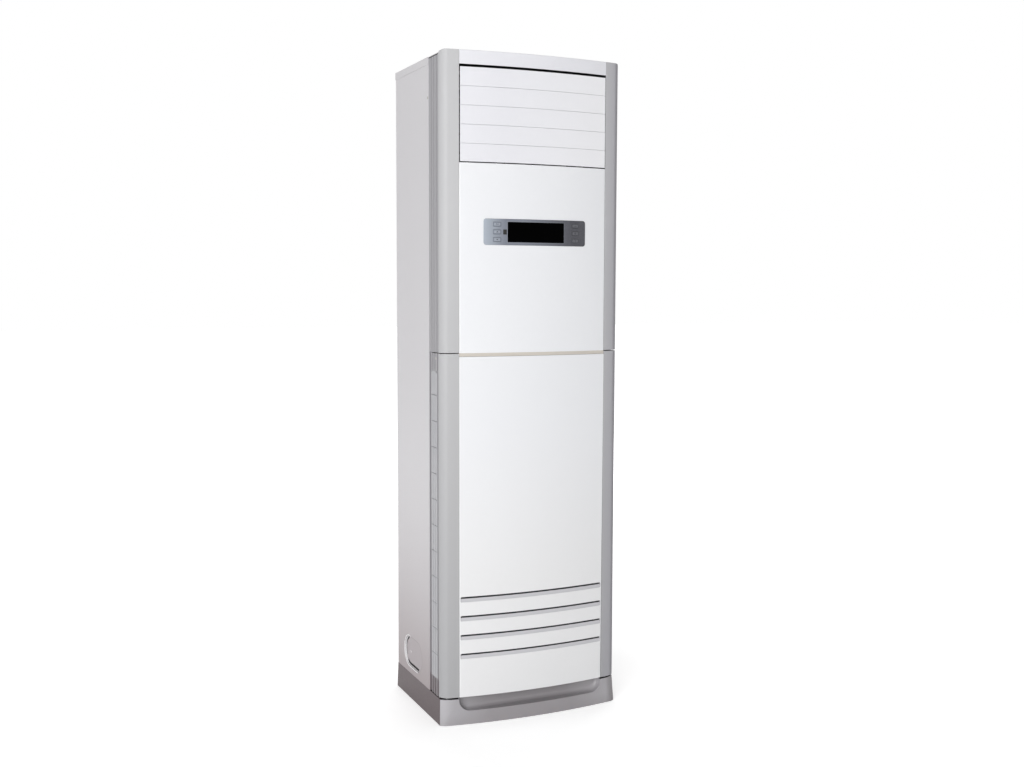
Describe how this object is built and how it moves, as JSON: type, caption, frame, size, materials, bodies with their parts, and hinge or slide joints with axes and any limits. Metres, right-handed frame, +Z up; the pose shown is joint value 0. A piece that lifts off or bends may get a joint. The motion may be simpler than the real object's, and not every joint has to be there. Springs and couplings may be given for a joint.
{
  "type": "floor standing air conditioner",
  "caption": "Tall floor standing air conditioner cabinet with bowed white front, tilting outlet louvres, display with keys, tipping lower intake front and a plinth.",
  "frame": {"origin": "on the floor, under the middle of the whole box", "axes": "+Z up, the front faces -Y, +X to the right seen from the front"},
  "size_m": [0.54, 0.4008, 1.825],
  "materials": {
    "white_plastic": "gloss white moulding",
    "header_white": "gloss cool white moulding",
    "pillar_grey": "satin light grey moulding",
    "strip_grey": "satin mid grey moulding",
    "grille_grey": "satin light grey moulding",
    "steel_paint": "light grey powder coat",
    "pan_paint": "dark grey brown powder coat",
    "skirt_grey": "satin grey moulding",
    "beige_strip": "satin beige moulding",
    "bezel_silver": "silver lacquer",
    "dark_window": "gloss black",
    "board_green": "solder mask",
    "black_plastic": "satin black",
    "galvanised": "galvanised sheet",
    "aluminium_fin": "bare fin stock",
    "copper_tube": "bare copper",
    "hose_white": "satin",
    "filter_grey": "satin",
    "mesh_grey": "woven filter mesh",
    "zinc_screw": "zinc plated",
    "shaft_steel": "ground steel",
    "motor_black": "black paint"
  },
  "bodies": {
    "cabinet": {"base_pan": "pan_paint", "plinth_front": "skirt_grey", "side_panel_left": "steel_paint", "side_panel_right": "steel_paint", "back_panel": "steel_paint", "top_cover": "steel_paint", "pipe_knockouts": "steel_paint", "upper_pillar_left": "pillar_grey", "upper_pillar_right": "pillar_grey", "side_strips_upper": "strip_grey", "side_strips_lower": "strip_grey", "side_grilles": "grille_grey", "outlet_header": "header_white", "upper_front_panel": "white_plastic", "seam_strip": "beige_strip", "display_bezel": "bezel_silver", "display_windows": "dark_window", "display_board": "board_green", "outlet_duct": "black_plastic", "louvre_motor": "hose_white", "vane_motor": "hose_white", "coil_fins": "aluminium_fin", "coil_tubes": "copper_tube", "coil_end_plates": "galvanised", "drain_tray": "hose_white", "drain_hose": "hose_white", "refrigerant_pipes": "copper_tube", "fan_deck": "galvanised", "electrical_box": "galvanised", "electrical_cover": "galvanised", "scroll_housing": "black_plastic", "inlet_partition": "galvanised", "fan_motor": "motor_black", "cabinet_screws": "zinc_screw", "wall_bracket": "galvanised"},
    "louvre_link": {"louvre_link": "black_plastic"},
    "louvre_crank": {"louvre_crank": "black_plastic"},
    "vane_link": {"vane_link": "black_plastic"},
    "fan_rotor": {"fan_wheel": "aluminium_fin", "fan_shaft": "shaft_steel"},
    "lower_front": {"lower_front_panel": "white_plastic", "lower_pillar_left": "pillar_grey", "lower_pillar_right": "pillar_grey"},
    "air_filter": {"filter_frame": "filter_grey", "filter_mesh": "mesh_grey"},
    "key_left_1": {"button_left_1": "bezel_silver"},
    "key_left_2": {"button_left_2": "bezel_silver"},
    "key_left_3": {"button_left_3": "bezel_silver"},
    "key_right_1": {"button_right_1": "bezel_silver"},
    "key_right_2": {"button_right_2": "bezel_silver"},
    "key_right_3": {"button_right_3": "bezel_silver"},
    "blade_1": {"louvre_blade_1": "header_white"},
    "blade_2": {"louvre_blade_2": "header_white"},
    "blade_3": {"louvre_blade_3": "header_white"},
    "blade_4": {"louvre_blade_4": "header_white"},
    "blade_5": {"louvre_blade_5": "header_white"},
    "upright_vane_1": {"vane_1": "black_plastic"},
    "upright_vane_2": {"vane_2": "black_plastic"},
    "upright_vane_3": {"vane_3": "black_plastic"},
    "upright_vane_4": {"vane_4": "black_plastic"}
  },
  "joints": [
    {"name": "blade_1_tilt", "type": "hinge", "parent": "cabinet", "child": "blade_1", "pos_m": [0, -0.1716, 1.556], "axis": [-1, 0, 0], "range_deg": [0, 75]},
    {"name": "blade_2_tilt", "type": "hinge", "parent": "cabinet", "child": "blade_2", "pos_m": [0, -0.1716, 1.606], "axis": [-1, 0, 0], "range_deg": [0, 75]},
    {"name": "blade_3_tilt", "type": "hinge", "parent": "cabinet", "child": "blade_3", "pos_m": [0, -0.1716, 1.656], "axis": [-1, 0, 0], "range_deg": [0, 75]},
    {"name": "blade_4_tilt", "type": "hinge", "parent": "cabinet", "child": "blade_4", "pos_m": [0, -0.1716, 1.706], "axis": [-1, 0, 0], "range_deg": [0, 75]},
    {"name": "blade_5_tilt", "type": "hinge", "parent": "cabinet", "child": "blade_5", "pos_m": [0, -0.1716, 1.756], "axis": [-1, 0, 0], "range_deg": [0, 75]},
    {"name": "louvre_link_pin", "type": "hinge", "parent": "blade_1", "child": "louvre_link", "pos_m": [-0.2277, -0.1556, 1.556], "axis": [-1, 0, 0], "range_deg": [-75, 0]},
    {"name": "louvre_crank_turn", "type": "hinge", "parent": "cabinet", "child": "louvre_crank", "pos_m": [-0.2317, -0.1396, 1.556], "axis": [-1, 0, 0], "range_deg": [0, 75]},
    {"name": "vane_1_swing", "type": "hinge", "parent": "cabinet", "child": "upright_vane_1", "pos_m": [-0.1635, -0.0896, 1.66], "axis": [0, 0, 1], "range_deg": [-35, 35]},
    {"name": "vane_2_swing", "type": "hinge", "parent": "cabinet", "child": "upright_vane_2", "pos_m": [-0.0545, -0.0896, 1.66], "axis": [0, 0, 1], "range_deg": [-35, 35]},
    {"name": "vane_3_swing", "type": "hinge", "parent": "cabinet", "child": "upright_vane_3", "pos_m": [0.0545, -0.0896, 1.66], "axis": [0, 0, 1], "range_deg": [-35, 35]},
    {"name": "vane_4_swing", "type": "hinge", "parent": "cabinet", "child": "upright_vane_4", "pos_m": [0.1635, -0.0896, 1.66], "axis": [0, 0, 1], "range_deg": [-35, 35]},
    {"name": "vane_link_pin", "type": "hinge", "parent": "upright_vane_1", "child": "vane_link", "pos_m": [-0.1635, -0.1056, 1.5465], "axis": [0, 0, 1], "range_deg": [-35, 35]},
    {"name": "fan_spin", "type": "hinge", "parent": "cabinet", "child": "fan_rotor", "pos_m": [0, 0, 0.4], "axis": [0, 1, 0], "continuous": true},
    {"name": "lower_front_tip", "type": "hinge", "parent": "cabinet", "child": "lower_front", "pos_m": [0, -0.1656, 0.08], "axis": [1, 0, 0], "range_deg": [0, 15]},
    {"name": "filter_lift", "type": "slide", "parent": "cabinet", "child": "air_filter", "axis": [0, 0, 1], "range_m": [0, 0.055]},
    {"name": "key_left_1_press", "type": "slide", "parent": "cabinet", "child": "key_left_1", "axis": [0, 1, 0], "range_m": [0, 0.0008], "stiffness_N_per_m": 500, "springref_m": -0.001},
    {"name": "key_left_2_press", "type": "slide", "parent": "cabinet", "child": "key_left_2", "axis": [0, 1, 0], "range_m": [0, 0.0008], "stiffness_N_per_m": 500, "springref_m": -0.001},
    {"name": "key_left_3_press", "type": "slide", "parent": "cabinet", "child": "key_left_3", "axis": [0, 1, 0], "range_m": [0, 0.0008], "stiffness_N_per_m": 500, "springref_m": -0.001},
    {"name": "key_right_1_press", "type": "slide", "parent": "cabinet", "child": "key_right_1", "axis": [0, 1, 0], "range_m": [0, 0.0008], "stiffness_N_per_m": 500, "springref_m": -0.001},
    {"name": "key_right_2_press", "type": "slide", "parent": "cabinet", "child": "key_right_2", "axis": [0, 1, 0], "range_m": [0, 0.0008], "stiffness_N_per_m": 500, "springref_m": -0.001},
    {"name": "key_right_3_press", "type": "slide", "parent": "cabinet", "child": "key_right_3", "axis": [0, 1, 0], "range_m": [0, 0.0008], "stiffness_N_per_m": 500, "springref_m": -0.001}
  ],
  "couplings": [
    {"joint": "blade_2_tilt", "follows": "blade_1_tilt", "ratio": 1},
    {"joint": "blade_3_tilt", "follows": "blade_1_tilt", "ratio": 1},
    {"joint": "blade_4_tilt", "follows": "blade_1_tilt", "ratio": 1},
    {"joint": "blade_5_tilt", "follows": "blade_1_tilt", "ratio": 1},
    {"joint": "louvre_link_pin", "follows": "blade_1_tilt", "ratio": -1},
    {"joint": "louvre_crank_turn", "follows": "blade_1_tilt", "ratio": 1},
    {"joint": "vane_2_swing", "follows": "vane_1_swing", "ratio": 1},
    {"joint": "vane_3_swing", "follows": "vane_1_swing", "ratio": 1},
    {"joint": "vane_4_swing", "follows": "vane_1_swing", "ratio": 1},
    {"joint": "vane_link_pin", "follows": "vane_1_swing", "ratio": -1}
  ]
}
